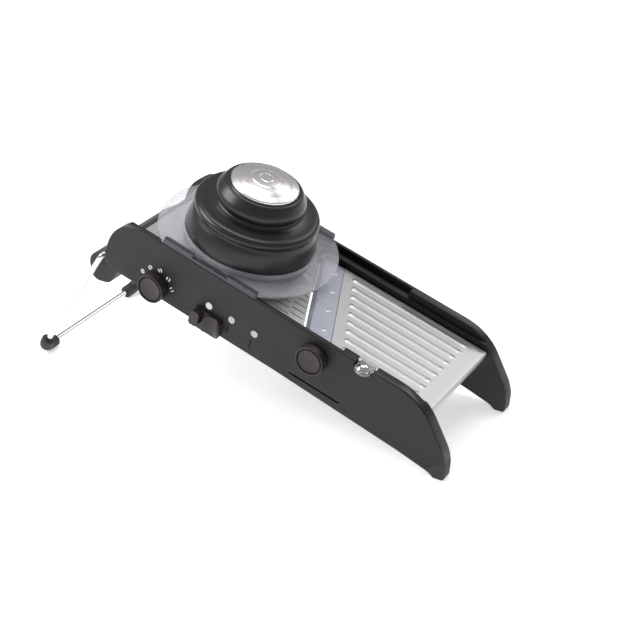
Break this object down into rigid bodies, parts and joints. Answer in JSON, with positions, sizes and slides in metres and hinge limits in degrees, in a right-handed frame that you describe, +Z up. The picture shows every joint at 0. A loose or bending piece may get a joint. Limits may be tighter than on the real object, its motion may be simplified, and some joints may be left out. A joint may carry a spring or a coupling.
{
  "type": "mandoline slicer",
  "caption": "Hand-operated mandoline slicer: a sloping slicing deck between two moulded rails, with a slanted blade, a sliding food carriage and domed pusher, and a folding wire leg.",
  "frame": {"origin": "on the table, in the middle of the footprint over the feet, leg and knobs", "axes": "+X towards the low end where slices come out, +Y away from the side with the knobs, +Z up"},
  "size_m": [0.4474, 0.1652, 0.2152],
  "materials": {
    "rail_plastic": "fine moulded texture",
    "liner_plastic": "fine moulded texture",
    "foot_rubber": "soft matt",
    "knob_plastic": "satin moulded",
    "hat_plastic": "satin moulded",
    "sheet_steel": "brushed along the slope",
    "blade_steel": "ground and polished",
    "bright_steel": "polished",
    "smoke_plastic": "clear tinted",
    "clear_plastic": "clear",
    "mark_white": "printed",
    "mark_black": "printed",
    "screw_steel": "plated"
  },
  "bodies": {
    "slicer_body": {"near_rail": "rail_plastic", "far_rail": "rail_plastic", "near_foot": "foot_rubber", "far_foot": "foot_rubber", "near_liner": "liner_plastic", "far_liner": "liner_plastic", "liner_screws": "screw_steel", "outlet_deck": "sheet_steel", "blade_carrier": "liner_plastic", "slicing_blade": "blade_steel", "blade_rivets": "bright_steel", "deck_screws": "screw_steel", "carrier_screws": "screw_steel", "tie_rods": "bright_steel", "platform_pin": "bright_steel", "knob_marks": "mark_white", "slider_marks": "mark_white", "stop_marks": "mark_black", "rear_crossbar": "foot_rubber"},
    "platform": {"inlet_platform": "sheet_steel", "platform_frame": "liner_plastic"},
    "fine_comb": {"fine_comb_bar": "liner_plastic", "fine_comb_teeth": "blade_steel"},
    "coarse_comb": {"coarse_comb_bar": "liner_plastic", "coarse_comb_teeth": "blade_steel"},
    "thickness_knob": {"rear_knob": "knob_plastic", "rear_knob_face": "knob_plastic", "lift_shaft": "bright_steel", "lift_cams": "liner_plastic"},
    "lock_knob": {"front_knob": "knob_plastic", "front_knob_face": "knob_plastic", "lock_shaft": "bright_steel", "lock_cam": "liner_plastic"},
    "selector": {"thumb_slider": "knob_plastic", "selector_bar": "liner_plastic"},
    "release_catch": {"release_tab": "clear_plastic", "release_stud": "bright_steel"},
    "carriage": {"food_carriage": "smoke_plastic", "near_runner": "smoke_plastic", "far_runner": "smoke_plastic"},
    "pusher": {"pusher_hat": "hat_plastic", "pusher_cap": "bright_steel", "plunger": "hat_plastic", "plunger_spikes": "bright_steel"},
    "leg": {"leg_wire": "bright_steel", "near_elbow": "foot_rubber", "far_elbow": "foot_rubber"}
  },
  "joints": [
    {"name": "thickness_turn", "type": "hinge", "parent": "slicer_body", "child": "thickness_knob", "pos_m": [-0.07668, -0.07, 0.11178], "axis": [0, -1, 0], "range_deg": [-25, 125]},
    {"name": "platform_tilt", "type": "hinge", "parent": "slicer_body", "child": "platform", "pos_m": [-0.09954, 0, 0.14412], "axis": [0, 1, 0], "range_deg": [-0.5, 2.3]},
    {"name": "lock_turn", "type": "hinge", "parent": "slicer_body", "child": "lock_knob", "pos_m": [0.09324, -0.07, 0.08646], "axis": [0, -1, 0], "range_deg": [0, 90]},
    {"name": "selector_shift", "type": "slide", "parent": "slicer_body", "child": "selector", "axis": [0.954, 0, -0.2999], "range_m": [0, 0.0506]},
    {"name": "fine_comb_rise", "type": "slide", "parent": "platform", "child": "fine_comb", "axis": [0.2999, 0, 0.954], "range_m": [0, 0.00605]},
    {"name": "coarse_comb_rise", "type": "slide", "parent": "platform", "child": "coarse_comb", "axis": [0.2999, 0, 0.954], "range_m": [0, 0.00605]},
    {"name": "release_press", "type": "slide", "parent": "slicer_body", "child": "release_catch", "axis": [0, 1, 0], "range_m": [0, 0.003], "stiffness_N_per_m": 300, "springref_m": -0.001},
    {"name": "carriage_slide", "type": "slide", "parent": "slicer_body", "child": "carriage", "axis": [0.954, 0, -0.2999], "range_m": [-0.02, 0.104]},
    {"name": "pusher_lift", "type": "slide", "parent": "carriage", "child": "pusher", "axis": [0.2999, 0, 0.954], "range_m": [0, 0.06]},
    {"name": "leg_fold", "type": "hinge", "parent": "slicer_body", "child": "leg", "pos_m": [-0.1436, 0, 0.12233], "axis": [0, -1, 0], "range_deg": [0, 86]}
  ],
  "couplings": [
    {"joint": "platform_tilt", "follows": "thickness_turn", "ratio": 0.018},
    {"joint": "fine_comb_rise", "follows": "selector_shift", "ratio": 0.1185},
    {"joint": "coarse_comb_rise", "follows": "selector_shift", "ratio": 0.1185}
  ]
}
